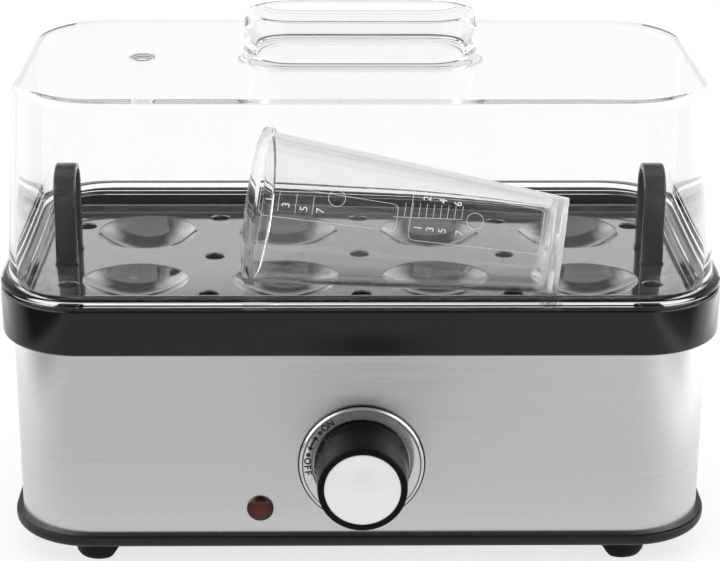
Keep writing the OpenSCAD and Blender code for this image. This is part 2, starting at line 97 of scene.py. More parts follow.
def feed(links, value, socket):
    # a value is another node's socket, or a plain number or vector
    if isinstance(value, bpy.types.NodeSocket):
        links.new(value, socket)
    else:
        socket.default_value = value


def addMath(nodes, links, operation, *values):
    step = nodes.new("ShaderNodeMath")
    step.operation = operation
    for value, socket in zip(values, step.inputs):
        feed(links, value, socket)
    return step.outputs[0]


def addVector(nodes, links, operation, *values):
    step = nodes.new("ShaderNodeVectorMath")
    step.operation = operation
    for value, socket in zip(values, step.inputs):
        feed(links, value, socket)
    return step.outputs["Value" if operation in ("LENGTH", "DISTANCE", "DOT_PRODUCT") else "Vector"]


def addBlend(nodes, links, factor, first, second):
    blend = nodes.new("ShaderNodeMix")
    links.new(factor, blend.inputs["Factor"])
    feed(links, first, blend.inputs["A"])
    feed(links, second, blend.inputs["B"])
    return blend.outputs["Result"]


def addNoise(nodes, links, vector, scale, detail=3.0, stretch=(1, 1, 1), roughness=0.5):
    spread = nodes.new("ShaderNodeMapping")
    spread.inputs["Scale"].default_value = stretch
    links.new(vector, spread.inputs["Vector"])
    noise = nodes.new("ShaderNodeTexNoise")
    noise.inputs["Scale"].default_value = scale
    noise.inputs["Detail"].default_value = detail
    noise.inputs["Roughness"].default_value = roughness
    links.new(spread.outputs["Vector"], noise.inputs["Vector"])
    return noise.outputs["Fac"]


def addRange(nodes, links, value, low, high, fromLow=0.3, fromHigh=0.7):
    change = nodes.new("ShaderNodeMapRange")
    change.inputs["From Min"].default_value = fromLow
    change.inputs["From Max"].default_value = fromHigh
    change.inputs["To Min"].default_value = low
    change.inputs["To Max"].default_value = high
    links.new(value, change.inputs["Value"])
    return change.outputs["Result"]


def addBump(nodes, links, shader, height, distance, strength=1.0, socket="Normal"):
    bump = nodes.new("ShaderNodeBump")
    bump.inputs["Strength"].default_value = strength
    bump.inputs["Distance"].default_value = distance
    links.new(height, bump.inputs["Height"])
    links.new(bump.outputs["Normal"], shader.inputs[socket])


def addColourMix(nodes, links, shader, factor, first, second):
    mix = nodes.new("ShaderNodeMix")
    mix.data_type = "RGBA"
    mix.inputs["A"].default_value = (*first, 1)
    mix.inputs["B"].default_value = (*second, 1)
    links.new(factor, mix.inputs["Factor"])
    links.new(mix.outputs["Result"], shader.inputs["Base Color"])


def mouldedPlastic(name, dark, light, rough, grain=0.00002, grainScale=900, drift=0.04):
    material, nodes, links, shader, place = startMaterial(name)
    cloud = addNoise(nodes, links, place, 45, 4)
    addColourMix(nodes, links, shader, cloud, dark, light)
    links.new(addRange(nodes, links, cloud, rough - drift, rough + drift), shader.inputs["Roughness"])
    fine = addNoise(nodes, links, place, grainScale, 2)
    addBump(nodes, links, shader, fine, grain)
    return material


def clearPlastic(name, tint, rough, ior):
    material, nodes, links, shader, place = startMaterial(name)
    shader.inputs["Base Color"].default_value = (*tint, 1)
    shader.inputs["Transmission Weight"].default_value = 1
    shader.inputs["IOR"].default_value = ior
    wave = addNoise(nodes, links, place, 14, 2)
    links.new(addRange(nodes, links, wave, rough * 0.5, rough * 1.5), shader.inputs["Roughness"])
    addBump(nodes, links, shader, wave, 0.0004, 0.25)
    rays = nodes.new("ShaderNodeLightPath")
    through = nodes.new("ShaderNodeBsdfTransparent")
    through.inputs["Color"].default_value = (0.96, 0.96, 0.97, 1)
    mix = nodes.new("ShaderNodeMixShader")
    links.new(rays.outputs["Is Shadow Ray"], mix.inputs[0])
    links.new(shader.outputs["BSDF"], mix.inputs[1])
    links.new(through.outputs["BSDF"], mix.inputs[2])
    links.new(mix.outputs["Shader"], nodes["Material Output"].inputs["Surface"])
    return material


def brushedMetal(name, dark, light, rough, stretch, depth=0.000012, anisotropy=0.6):
    material, nodes, links, shader, place = startMaterial(name)
    shader.inputs["Metallic"].default_value = 1
    streak = addNoise(nodes, links, place, 1, 3, stretch, 0.65)
    patch = addNoise(nodes, links, place, 1, 2, tuple(s * 0.22 for s in stretch))
    both = addMath(nodes, links, "MULTIPLY_ADD", streak, 0.7, addMath(nodes, links, "MULTIPLY", patch, 0.3))
    addColourMix(nodes, links, shader, addRange(nodes, links, both, 0, 1, 0.35, 0.65), dark, light)
    links.new(addRange(nodes, links, streak, rough - 0.05, rough + 0.07), shader.inputs["Roughness"])
    addBump(nodes, links, shader, streak, depth, 0.6)
    shader.inputs["Anisotropic"].default_value = anisotropy
    normal = nodes.new("ShaderNodeNewGeometry").outputs["Normal"]
    links.new(addVector(nodes, links, "CROSS_PRODUCT", normal, (0, 0, 1)), shader.inputs["Tangent"])
    return material


def plainMetal(name, dark, light, rough, scale=120):
    material, nodes, links, shader, place = startMaterial(name)
    shader.inputs["Metallic"].default_value = 1
    cloud = addNoise(nodes, links, place, scale, 4)
    addColourMix(nodes, links, shader, cloud, dark, light)
    links.new(addRange(nodes, links, cloud, rough * 0.7, rough * 1.3), shader.inputs["Roughness"])
    addBump(nodes, links, shader, cloud, 0.00002, 0.5)
    return material


def spunMetal(name, centre, colour, rough):
    material, nodes, links, shader, place = startMaterial(name)
    shader.inputs["Metallic"].default_value = 1
    shader.inputs["Base Color"].default_value = (*colour, 1)
    flat = addVector(nodes, links, "MULTIPLY", addVector(nodes, links, "SUBTRACT", place, centre), (1, 0, 1))
    rings = nodes.new("ShaderNodeTexNoise")
    rings.noise_dimensions = "1D"
    rings.inputs["Scale"].default_value = 9000
    rings.inputs["Detail"].default_value = 3
    links.new(addVector(nodes, links, "LENGTH", flat), rings.inputs["W"])
    ridges = rings.outputs["Fac"]
    links.new(addRange(nodes, links, ridges, rough - 0.02, rough + 0.03), shader.inputs["Roughness"])
    addBump(nodes, links, shader, ridges, 0.000002, 0.4)
    shader.inputs["Anisotropic"].default_value = 0.75
    links.new(addVector(nodes, links, "CROSS_PRODUCT", flat, (0, 1, 0)), shader.inputs["Tangent"])
    return material


def grey(level):
    return (level, level, level)


# tint, roughness, index of refraction
clearFinishes = {
    "clearLid": ((0.985, 0.983, 0.988), 0.012, 1.26),
    "clearCup": ((0.955, 0.957, 0.96), 0.02, 1.4),
    "lampGlass": ((0.95, 0.9, 0.84), 0.02, 1.5),
}
# darkest and lightest colour, roughness, then the grain's depth and scale and the roughness's drift
plasticFinishes = {
    "glossBlack": (grey(0.003), grey(0.006), 0.12),
    "loopBlack": ((0.028, 0.028, 0.029), (0.04, 0.04, 0.041), 0.2),
    "trayBlack": ((0.018, 0.018, 0.019), (0.026, 0.026, 0.027), 0.1, 0.000004, 400, 0.03),
    "satinBlack": (grey(0.006), grey(0.011), 0.4, 0.00004, 1500),
    "knobBlack": (grey(0.003), grey(0.007), 0.2, 0.00003, 1200),
    "footRubber": (grey(0.003), grey(0.006), 0.6, 0.00006, 1400),
    "silicone": ((0.3, 0.3, 0.27), (0.36, 0.36, 0.33), 0.55, 0.00004, 900),
    "nylon": ((0.62, 0.58, 0.48), (0.7, 0.67, 0.58), 0.45, 0.00004, 900),
    "ceramic": ((0.7, 0.68, 0.62), (0.78, 0.77, 0.73), 0.5, 0.00005, 1200),
    "cableBrown": ((0.10, 0.04, 0.02), (0.14, 0.06, 0.03), 0.4),
    "cableBlue": ((0.02, 0.06, 0.3), (0.03, 0.09, 0.38), 0.4),
    "cableGreen": ((0.08, 0.25, 0.02), (0.5, 0.5, 0.03), 0.4),
    "print": (grey(0.012), grey(0.02), 0.5),
    "cupPrint": (grey(0.8), grey(0.86), 0.5),
    "redLens": ((0.018, 0.001, 0.001), (0.07, 0.005, 0.004), 0.1),
}
# darkest and lightest colour, roughness, then the scale of its patches
metalFinishes = {
    "panSteel": ((0.5, 0.5, 0.51), (0.62, 0.62, 0.63), 0.22),
    "zincSteel": (grey(0.55), (0.68, 0.68, 0.69), 0.3),
    "aluminium": ((0.66, 0.66, 0.67), (0.76, 0.76, 0.77), 0.38),
    "heaterSheath": ((0.12, 0.12, 0.125), grey(0.2), 0.5),
    "chrome": (grey(0.93), grey(0.97), 0.1, 60),
}
finish = {
    "sleeveSteel": brushedMetal("sleeveSteel", grey(0.81), (0.865, 0.865, 0.86), 0.3, (9, 9, 3600), 0.000006),
    "spun": spunMetal("spunAluminium", (0, faceY, dialZ), (0.95, 0.95, 0.945), 0.24),
}
makers = ((clearPlastic, clearFinishes), (mouldedPlastic, plasticFinishes), (plainMetal, metalFinishes))
for make, settings in makers:
    for name, values in settings.items():
        finish[name] = make(name, *values)
shaderInputs = (
    ("trayBlack", "Specular IOR Level", 1), ("trayBlack", "IOR", 1.7), ("trayBlack", "Coat Weight", 1),
    ("trayBlack", "Coat IOR", 1.6), ("satinBlack", "Specular IOR Level", 0.35),
    ("footRubber", "Specular IOR Level", 0.15), ("knobBlack", "IOR", 1.17),
    ("glossBlack", "Specular IOR Level", 0.52), ("chrome", "Metallic", 0.85), ("spun", "Metallic", 0.45),
)
for name, label, value in shaderInputs:
    finish[name].node_tree.nodes["Principled BSDF"].inputs[label].default_value = value
print("stage: materials made")


# ---- mesh helpers ----
def levelAt(size, inset, z):
    # one level of a loft: a rounded rectangle (width, depth, corner) drawn in on every side
    w, d, r = size
    return (w - 2 * inset, d - 2 * inset, r - inset, z)


def loftLevels(bm, levels, closed=False):
    addLoops(bm, [rectLoop(*level) for level in levels], closed)


def meshFrom(bm, name):
    mesh = bpy.data.meshes.new(name)
    bm.to_mesh(mesh)
    bm.free()
    return mesh


def rectLoop(w, d, r, z, steps=20):
    # a rounded rectangle seen from above, in millimetres, as points in metres
    points = []
    for corner, (sx, sy) in enumerate(((1, 1), (-1, 1), (-1, -1), (1, -1))):
        for i in range(steps + 1):
            a = (corner + i / steps) * pi / 2
            points.append((mm * (sx * (w / 2 - r) + r * cos(a)),
                           bodyY + mm * (sy * (d / 2 - r) + r * sin(a)), mm * z))
    return points


def ovalLoop(length, width, z, steps=28):
    points = []
    r = width / 2
    for side in (1, -1):
        for i in range(steps + 1):
            a = pi * i / steps - pi / 2 + (0 if side > 0 else pi)
            points.append((mm * (side * (length - width) / 2 + r * cos(a)), bodyY + mm * r * sin(a), mm * z))
    return points


def roundLoop(x, y, r, z, steps=40):
    return [(mm * (x + r * cos(2 * pi * i / steps)), bodyY + mm * (y + r * sin(2 * pi * i / steps)), mm * z)
            for i in range(steps)]


def addLoops(bm, loops, closed=False):
    rings = [[bm.verts.new(p) for p in loop] for loop in loops]
    pairs = list(zip(rings, rings[1:]))
    if closed:
        pairs.append((rings[-1], rings[0]))
    for low, high in pairs:
        for i in range(len(low)):
            j = (i + 1) % len(low)
            bm.faces.new((low[i], low[j], high[j], high[i])).smooth = True
    return rings


def fillFlat(bm, outer, holes, z):
    # a flat face at height z inside one loop of points and round the holes in it
    points = [(p[0], p[1]) for loop in [outer] + holes for p in loop]
    edges = []
    start = 0
    for loop in [outer] + holes:
        edges += [(start + i, start + (i + 1) % len(loop)) for i in range(len(loop))]
        start += len(loop)
    found = delaunay_2d_cdt([Vector(p) for p in points], edges, [], 0, 1e-7)
    verts = [bm.verts.new((p.x, p.y, z)) for p in found[0]]

    def inside(x, y, loop):
        hit = False
        for i in range(len(loop)):
            (ax, ay), (bx, by) = loop[i][:2], loop[i - 1][:2]
            if (ay > y) != (by > y) and x < (bx - ax) * (y - ay) / (by - ay) + ax:
                hit = not hit
        return hit
    for face in found[2]:
        x = sum(found[0][i].x for i in face) / len(face)
        y = sum(found[0][i].y for i in face) / len(face)
        if inside(x, y, outer) and not any(inside(x, y, hole) for hole in holes):
            bm.faces.new([verts[i] for i in face]).smooth = False


def arcPoints(cx, cz, r, start, end, steps):
    return [(cx + r * cos(radians(start + (end - start) * i / steps)),
             cz + r * sin(radians(start + (end - start) * i / steps))) for i in range(steps + 1)]


def spinProfile(bm, profile, matrix, steps=96):
    # profile of (radius, height) turned about the matrix's own z axis; radius 0 closes at a pole
    rings = []
    angles = [2 * pi * i / steps for i in range(steps)]
    for r, h in profile:
        turns = [(1, 0)] if r < 1e-6 else [(cos(a), sin(a)) for a in angles]
        rings.append([bm.verts.new(matrix @ Vector((mm * r * x, mm * r * y, mm * h))) for x, y in turns])
    for low, high in zip(rings, rings[1:]):
        for i in range(steps):
            j = (i + 1) % steps
            corners = [low[i % len(low)], low[j % len(low)], high[j % len(high)], high[i % len(high)]]
            corners = [v for k, v in enumerate(corners) if v is not corners[k - 1]]
            if len(corners) > 2:
                bm.faces.new(corners).smooth = True
    return rings


def finishPiece(name, bm, body, material, nodes=(), angle=38):
    # welds, turns the faces outwards and hands the piece to its body
    bmesh.ops.remove_doubles(bm, verts=bm.verts, dist=2e-7)
    bmesh.ops.recalc_face_normals(bm, faces=bm.faces)
    print(name, "open edges", sum(1 for e in bm.edges if len(e.link_faces) != 2), "faces", len(bm.faces))
    return placeMesh(name, meshFrom(bm, name), body, material, nodes, angle, False)


def placeMesh(name, mesh, body, material, nodes=(), angle=38, smooth=True):
    mesh.materials.clear()
    mesh.materials.append(material)
    kept = [smooth or face.use_smooth for face in mesh.polygons]
    mesh.set_sharp_from_angle(angle=radians(angle))
    mesh.polygons.foreach_set("use_smooth", kept)
    piece = bpy.data.objects.new(name, mesh)
    scene.collection.objects.link(piece)
    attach(piece, body)
    if nodes:
        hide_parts(*nodes)
    return piece


def textMesh(word, size, thick, bold, bm, place):
    data = bpy.data.curves.new("letter", "FONT")
    data.body = word
    data.size = size
    data.align_x = "CENTER"
    data.align_y = "CENTER"
    data.extrude = thick / 2
    data.offset = bold
    data.resolution_u = 4
    carrier = bpy.data.objects.new("letter", data)
    scene.collection.objects.link(carrier)
    bpy.context.view_layer.update()
    mesh = bpy.data.meshes.new_from_object(carrier.evaluated_get(bpy.context.evaluated_depsgraph_get()))
    bpy.data.objects.remove(carrier)
    mesh.transform(place)
    bm.from_mesh(mesh)
    bpy.data.meshes.remove(mesh)


# ---- lid ----
lidValues = {"base": (250.6, 129.4, 30), "leanW": 7.4, "leanD": 8.8, "cornerGrows": 1.6,
             "wall": 2.0, "round": 3.6, "flange": (255.6, 136, 30), "flangeT": 2.4, "flangeRound": 1.3,
             "skirt": (242.4, 124.6, 21.4), "skirtDrop": 1.3, "skirtT": 1.5,
             "gripL": 83, "gripD": 34.2, "gripH": 16.8, "gripWall": 2.65, "ventX": -78.7, "ventR": 4.4}


def wallLevels(v, inset, low, top, fillet):
    # the tapered wall and its rounded top edge, at a given inset from the outside
    w0, d0, r0, _ = levelAt(v["base"], inset, 0)
    ended = (w0 - v["leanW"], d0 - v["leanD"], r0 + v["cornerGrows"])
    levels = [(w0, d0, r0, low)]
    for i in range(1, 6):
        t = i / 6
        size = (a + (b - a) * t for a, b in zip((w0, d0, r0), ended))
        levels.append((*size, low + (top - fillet - low) * t))
    levels += [levelAt(ended, -x, z) for x, z in arcPoints(-fillet, top - fillet, fillet, 0, 90, 10)]
    return levels + [levelAt(ended, fillet + extra, top) for extra in (0.5, 1.5)]


def gripLevels(v):
    # a ring that flares into the top, with a rounded rim and a floor inside: (length, width, height)
    long, wide, t, h = v["gripL"], v["gripD"], v["gripWall"], v["gripH"]
    flare = ((8, 7.8, 0), (6.4, 6.2, 0.02), (5, 4.8, 0.12), (3.9, 3.8, 0.35), (2.5, 2.3, 1.1),
             (1.5, 1.3, 2.4), (1.1, 0.9, 4), (0, 0, h - 0.8), (-0.3, -0.3, h - 0.25), (-0.9, -0.9, h))
    well = ((0.9, h), (0.3, h - 0.25), (0, h - 0.8), (-0.6, 1.9), (-1.4, 0.8), (-3.2, 0.2), (-4.4, 0.2))
    outside = [(long + x, wide + y, z) for x, y, z in flare]
    return outside + [(long - 2 * t + x, wide - 2 * t + x, z) for x, z in well]


def makeLid(v):
    bm = bmesh.new()
    seat = collarHigh.z / mm
    top = lidHigh.z / mm - v["gripH"]
    flangeTop = seat + v["flangeT"]
    outer = wallLevels(v, 0, flangeTop + 0.9, top, v["round"])
    inner = wallLevels(v, v["wall"], seat + 1.2, top - v["wall"], v["round"] - 1.4)
    (w, d, r), (fw, fd, fr) = v["base"], v["flange"]
    rim = [(w + 1.0, d + 1.0, r + 0.5, flangeTop + 0.2), (w + 2.0, d + 2.0, r + 0.6, flangeTop)]
    edge = [levelAt(v["flange"], 0.45, flangeTop), (fw - 0.25, fd - 0.25, fr - 0.1, flangeTop - 0.2),
            levelAt(v["flange"], 0, flangeTop - 0.7)]
    bend = v["flangeRound"]
    edge += [levelAt(v["flange"], -x, z) for x, z in arcPoints(-bend, seat + bend, bend, 0, -90, 8)]
    foot, t = seat - v["skirtDrop"], v["skirtT"]
    skirt = [levelAt(v["skirt"], inset, z) for inset, z in
             ((0, seat), (0, foot + 0.3), (0.3, foot), (t - 0.2, foot), (t, foot + 0.3), (t, seat + 1.2))]
    loftLevels(bm, list(reversed(outer)) + rim + edge + skirt + inner)
    grip = gripLevels(v)
    addLoops(bm, [ovalLoop(a, b, top + z) for a, b, z in grip])
    fillFlat(bm, ovalLoop(*grip[-1][:2], top), [], mm * (top + grip[-1][2]))
    vent, under = v["ventR"], top - v["wall"]
    hole = [roundLoop(v["ventX"], 0, vent + out, z)
            for out, z in ((0.35, top), (0, top - 0.35), (0, under + 0.2), (0.2, under))]
    fillFlat(bm, rectLoop(*outer[-1]), [ovalLoop(*grip[0][:2], top), hole[0]], mm * top)
    fillFlat(bm, rectLoop(*inner[-1]), [hole[-1]], mm * under)
    addLoops(bm, hole)
    return finishPiece("clearLid", bm, "lid", finish["clearLid"], ["lid"], 50)


makeLid(lidValues)
print("stage: lid made")

# ---- egg tray ----
trayValues = {"rim": (242.2, 105, 14), "rimH": 2.8, "rimWall": 1.9, "rimFoot": 1, "thick": 2,
              "pitch": 54, "rowPitch": 55, "recessR": 19.4, "recessDepth": 8, "lip": 1.1,
              "holeR": 3.5, "holeRound": 0.5, "holeY": 44, "sideHole": (105, 34), "loopD": 20}
floorZ = trayHigh.z / mm - trayValues["rimH"]


def bowlProfile(radius, lip, depth, start):
    # a small rolled lip that turns into a round bowl without a crease, from the lip to the middle
    steep = pi / 4
    for _ in range(8):
        steep = 2 * math.atan((depth - lip * (1 - cos(steep))) / (radius - lip * sin(steep)))
    points = [(radius - lip * sin(steep * i / 7), start - lip * (1 - cos(steep * i / 7))) for i in range(8)]
    r, z = points[-1]
    ball = r / sin(steep)
    for i in range(1, 18):
        angle = steep * (1 - i / 18)
        points.append((ball * sin(angle), z + ball * (cos(steep) - cos(angle))))
    return points + [(0, start - depth)]


def makeTray(v):
    bm = bmesh.new()
    z, under = floorZ, floorZ - v["thick"]
    rim, t, crest = v["rim"], v["rimWall"], floorZ + v["rimH"]
    levels = [levelAt(rim, inset, height) for inset, height in
              ((0.3, under), (0, under + 0.3), (0, crest - 0.5), (0.15, crest - 0.15), (0.5, crest),
               (t - 0.5, crest), (t - 0.15, crest - 0.15), (t, crest - 0.5))]
    foot = v["rimFoot"]
    for a in range(0, 91, 15):
        levels.append(levelAt(rim, t + foot * (1 - cos(radians(a))), z + foot * (1 - sin(radians(a)))))
    levels.append(levelAt(rim, t + foot + 0.8, z))
    loftLevels(bm, levels)
    bowls = [(c * v["pitch"], s * v["rowPitch"] / 2) for c in (-1.5, -0.5, 0.5, 1.5) for s in (-1, 1)]
    holes = [(c * v["pitch"], s * v["holeY"]) for c in (-1, 0, 1) for s in (-1, 0, 1)]
    holes += [(sx * v["sideHole"][0], sy * v["sideHole"][1]) for sx in (-1, 1) for sy in (-1, 1)]
    bowl, hole, rolled = v["recessR"], v["holeR"], v["holeRound"]
    for level, height, bowlOut, holeOut in ((levels[-1], z, 0, rolled), (levels[0], under, -0.2, 0.2)):
        cut = [roundLoop(x, y, bowl + bowlOut, height, 72) for x, y in bowls]
        cut += [roundLoop(x, y, hole + holeOut, height, 32) for x, y in holes]
        fillFlat(bm, rectLoop(*level), cut, mm * height)
    outside = [((bowl - 1.2) * cos(radians(a)), z - 2.4 - (v["recessDepth"] - 1.2) * sin(radians(a)))
               for a in range(0, 91, 9)]
    outside[-1] = (0, outside[-1][1])
    for x, y in bowls:
        place = Matrix.Translation((mm * x, bodyY + mm * y, 0))
        spinProfile(bm, bowlProfile(bowl, v["lip"], v["recessDepth"], z), place, 72)
        spinProfile(bm, [(bowl - 0.2, under)] + outside, place, 72)
    bore = arcPoints(hole + rolled, z - rolled, rolled, 90, 180, 3)
    bore += [(hole, under + 0.2), (hole + 0.2, under)]
    for x, y in holes:
        addLoops(bm, [roundLoop(x, y, r, height, 32) for r, height in bore])
    return finishPiece("eggTray", bm, "tray", finish["trayBlack"], ["egg_tray"], 50)


makeTray(trayValues)
print("stage: tray made")


# ---- geometry nodes helpers ----
def startTree(name, inputs):
    tree = bpy.data.node_groups.new(name, "GeometryNodeTree")
    tree.interface.new_socket("Geometry", in_out="INPUT", socket_type="NodeSocketGeometry")
    for label, kind, value in inputs:
        socket = tree.interface.new_socket(label, in_out="INPUT", socket_type=kind)
        if value is not None:
            socket.default_value = value
    tree.interface.new_socket("Geometry", in_out="OUTPUT", socket_type="NodeSocketGeometry")
    return tree, tree.nodes.new("NodeGroupInput"), tree.nodes.new("NodeGroupOutput")


def endTree(tree, source, out, shape):
    # every tree ends in real geometry with its material on it
    real = tree.nodes.new("GeometryNodeRealizeInstances")
    paint = tree.nodes.new("GeometryNodeSetMaterial")
    tree.links.new(shape, real.inputs[0])
    tree.links.new(real.outputs[0], paint.inputs["Geometry"])
    tree.links.new(source.outputs["Material"], paint.inputs["Material"])
    tree.links.new(paint.outputs[0], out.inputs[0])


def runTree(tree, carrier, values):
    # the carrier's modifier is worked out once and turned into a plain mesh
    scene.collection.objects.link(carrier)
    modifier = carrier.modifiers.new(tree.name, "NODES")
    modifier.node_group = tree
    for item in tree.interface.items_tree:
        if item.item_type == "SOCKET" and item.in_out == "INPUT" and item.name in values:
            modifier[item.identifier] = values[item.name]
    bpy.context.view_layer.update()
    mesh = bpy.data.meshes.new_from_object(carrier.evaluated_get(bpy.context.evaluated_depsgraph_get()))
    carrier.modifiers.remove(modifier)
    bpy.data.objects.remove(carrier)
    return mesh


def strapTree():
    # a flat strap with rounded edges, swept along its carrier's curve
    sizes = [(name, "NodeSocketFloat", size) for name, size in
             (("Width", 0.008), ("Thickness", 0.003), ("Edge", 0.0008))]
    tree, source, out = startTree("strap", sizes + [("Material", "NodeSocketMaterial", None)])
    section = tree.nodes.new("GeometryNodeCurvePrimitiveQuadrilateral")
    tree.links.new(source.outputs["Width"], section.inputs["Width"])
    tree.links.new(source.outputs["Thickness"], section.inputs["Height"])
    fillet = tree.nodes.new("GeometryNodeFilletCurve")
    fillet.mode = "POLY"
    fillet.inputs["Count"].default_value = 4
    tree.links.new(section.outputs["Curve"], fillet.inputs["Curve"])
    tree.links.new(source.outputs["Edge"], fillet.inputs["Radius"])
    sweep = tree.nodes.new("GeometryNodeCurveToMesh")
    sweep.inputs["Fill Caps"].default_value = True
    tree.links.new(source.outputs["Geometry"], sweep.inputs["Curve"])
    tree.links.new(fillet.outputs["Curve"], sweep.inputs["Profile Curve"])
    endTree(tree, source, out, sweep.outputs["Mesh"])
    return tree


strapNodes = strapTree()


def curveCarrier(name, lines):
    # one curve object with a straight-sided spline for each line of points
    path = bpy.data.curves.new(name, "CURVE")
    path.dimensions = "3D"
    for line in lines:
        spline = path.splines.new("POLY")
        spline.points.add(len(line) - 1)
        for point, place in zip(spline.points, line):
            point.co = (*place, 1)
    return bpy.data.objects.new(name, path)


def strapMesh(name, lines, width, thick, edge, material):
    return runTree(strapNodes, curveCarrier(name, lines),
                   {"Width": mm * width, "Thickness": mm * thick, "Edge": mm * edge, "Material": material})


# ---- lifting loops ----
loopValues = {"width": 8.2, "thick": 2.8, "edge": 0.9, "steps": 28}


def makeLoop(side, node, v):
    low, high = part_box(node)
    x = (low.x + high.x) / 2
    base = mm * floorZ
    r = mm * (trayValues["loopD"] - v["thick"]) / 2
    crown = high.z - mm * v["thick"] / 2 - r
    leg = [(r, base - 0.0004)] + [(r, base + (crown - base) * i / 6) for i in range(1, 6)]
    turns = [pi * i / v["steps"] for i in range(v["steps"] + 1)]
    arch = [(r * cos(a), crown + r * sin(a)) for a in turns]
    points = [(x, bodyY + y, z) for y, z in leg + arch + [(-y, z) for y, z in reversed(leg)]]
    mesh = strapMesh("arch", [points], v["width"], v["thick"], v["edge"], finish["loopBlack"])
    # tongues and flared feet where the strap meets the tray
    bm = bmesh.new()
    bm.from_mesh(mesh)
    for s in (-1, 1):
        y = (bodyY + s * r) / mm
        for w, d, z0, z1 in ((v["width"] + 0.6, 4.0, floorZ, floorZ + 1.0), (5, 1.5, floorZ - 3.4, floorZ)):
            place = Matrix.Translation((x, mm * y, mm * (z0 + z1) / 2))
            place = place @ Matrix.Diagonal((mm * w, mm * d, mm * (z1 - z0), 1))
            box = bmesh.ops.create_cube(bm, size=1, matrix=place)
            edges = list({e for vert in box["verts"] for e in vert.link_edges})
            bmesh.ops.bevel(bm, geom=edges, offset=0.0003, segments=2, affect="EDGES")
    mesh.clear_geometry()
    bmesh.ops.recalc_face_normals(bm, faces=bm.faces)
    bm.to_mesh(mesh)
    bm.free()
    return placeMesh("liftLoop" + side, mesh, "tray", finish["loopBlack"], [node], 50)


makeLoop("Left", "tray_handle_left", loopValues)
makeLoop("Right", "tray_handle_right", loopValues)
print("stage: loops made")

# ---- measuring cup ----
cupValues = {"mouth": (-40.2, -26.4), "base": (69.5, -41.4), "baseLift": 0.6, "mouthR": 29.2, "bead": 1.1,
             "baseR": 17.6, "length": 110, "wall": 1.5,
             "frost": 0.72, "frostRough": (0.2, 0.02), "frostFrom": 1, "frostTo": 9}


def cupMatrix(v):
    run = Vector((v["mouth"][0] - v["base"][0], v["mouth"][1] - v["base"][1]))
    yaw = atan2(run.y, run.x)
    taper = (v["mouthR"] - v["bead"] - v["baseR"]) / v["length"]
    rise = math.atan(taper) - math.atan(v["baseLift"] / run.length)
    back = v["baseR"] * sin(rise)
    place = Vector((v["base"][0] - back * cos(yaw), v["base"][1] - back * sin(yaw),
                    floorZ + v["baseLift"] + v["baseR"] * cos(rise))) * mm + Vector((0, bodyY, 0))
    return Matrix.Translation(place) @ Matrix.Rotation(yaw, 4, "Z") @ Matrix.Rotation(pi / 2 - rise, 4, "Y")


cupPlace = cupMatrix(cupValues)


def cupRadius(v, z):
    return v["baseR"] + (v["mouthR"] - v["bead"] - v["baseR"]) * z / v["length"]


def frostEnd(material, v):
    # the cup's thick base scatters the light, which fades out up the wall
    nodes, links, shader, place = materialParts(material)
    move = addVector(nodes, links, "SUBTRACT", place, cupPlace.translation)
    along = addVector(nodes, links, "DOT_PRODUCT", move, cupPlace.to_3x3().col[2])
    low, high = mm * v["frostFrom"], mm * v["frostTo"]
    for near, far, socket in ((v["frost"], 1, "Transmission Weight"), (*v["frostRough"], "Roughness")):
        links.new(addRange(nodes, links, along, near, far, low, high), shader.inputs[socket])


def makeCup(v):
    frostEnd(finish["clearCup"], v)
    bm = bmesh.new()
    t, length, base, mouth = v["wall"], v["length"], v["baseR"], v["mouthR"]
    inside, heel = cupRadius(v, length) - t, cupRadius(v, 5) - t
    profile = [(3.2, 3.6), (3.2, 2.2), (base - 2.8, 2.2), (base - 2.4, 1.8), (base - 2.4, 0.3),
               (base - 2.1, 0), (base - 0.4, 0), (base - 0.1, 0.15), (base, 0.5)]
    profile += [(cupRadius(v, z), z) for z in (20, 50, 80, length - 4.4, length - 3.9)]
    profile += [(mouth - 0.35, length - 3.3), (mouth, length - 2.7), (mouth, length - 0.5),
                (mouth - 0.15, length - 0.15), (mouth - 0.5, length), (inside + 0.4, length),
                (inside + 0.1, length - 0.12), (inside, length - 0.5)]
    profile += [(cupRadius(v, z) - t, z) for z in (80, 50, 20, 6.4)]
    profile += [(heel - 0.3, 5.0), (heel - 0.9, 4.2), (heel - 1.8, 3.9), (5.4, 3.9), (4.6, 4.4),
                (4.2, 6.1), (3.9, 6.4), (1.25, 6.4), (1.25, 3.6), (3.2, 3.6)]
    spinProfile(bm, profile, cupPlace, 128)
    return finishPiece("measuringCup", bm, "cup", finish["clearCup"], ["measuring_cup"], 40)


makeCup(cupValues)

# raised marks on the cup: angles are in degrees round its axis, heights in millimetres from its base
markValues = {"line": 0.15, "edge": 0.06, "digit": 3.9, "digitThick": 0.2, "ring": 2.9, "railLean": 0.7,
              "scales": (
                  {"tickLow": 118, "tickHigh": 131, "start": 55.6, "step": 2.45, "ticks": 9, "rail": 59.5,
                   "frame": (99, 150, 8, 53.5), "ringAt": (124, 31.3),
                   "digits": (("1", 110.5, 50.4), ("3", 110.5, 46.2), ("5", 110.5, 42), ("7", 110.5, 36),
                              ("2", 138.5, 48.5), ("4", 138.5, 43), ("6", 138.5, 37.8))},
                  {"tickLow": 109.5, "tickHigh": 124, "start": 98.9, "step": 5.95, "ticks": 3, "rail": None,
                   "frame": (105, 128, 58, 105.4), "ringAt": (125.3, 79.3),
                   "digits": (("1", 117, 102), ("3", 114.5, 96.2), ("5", 113.5, 90), ("7", 113.5, 84.3))})}


def cupPoint(angle, height, lift=0.0):
    r = cupRadius(cupValues, height) + lift
    return cupPlace @ Vector((mm * r * cos(radians(angle)), mm * r * sin(radians(angle)), mm * height))


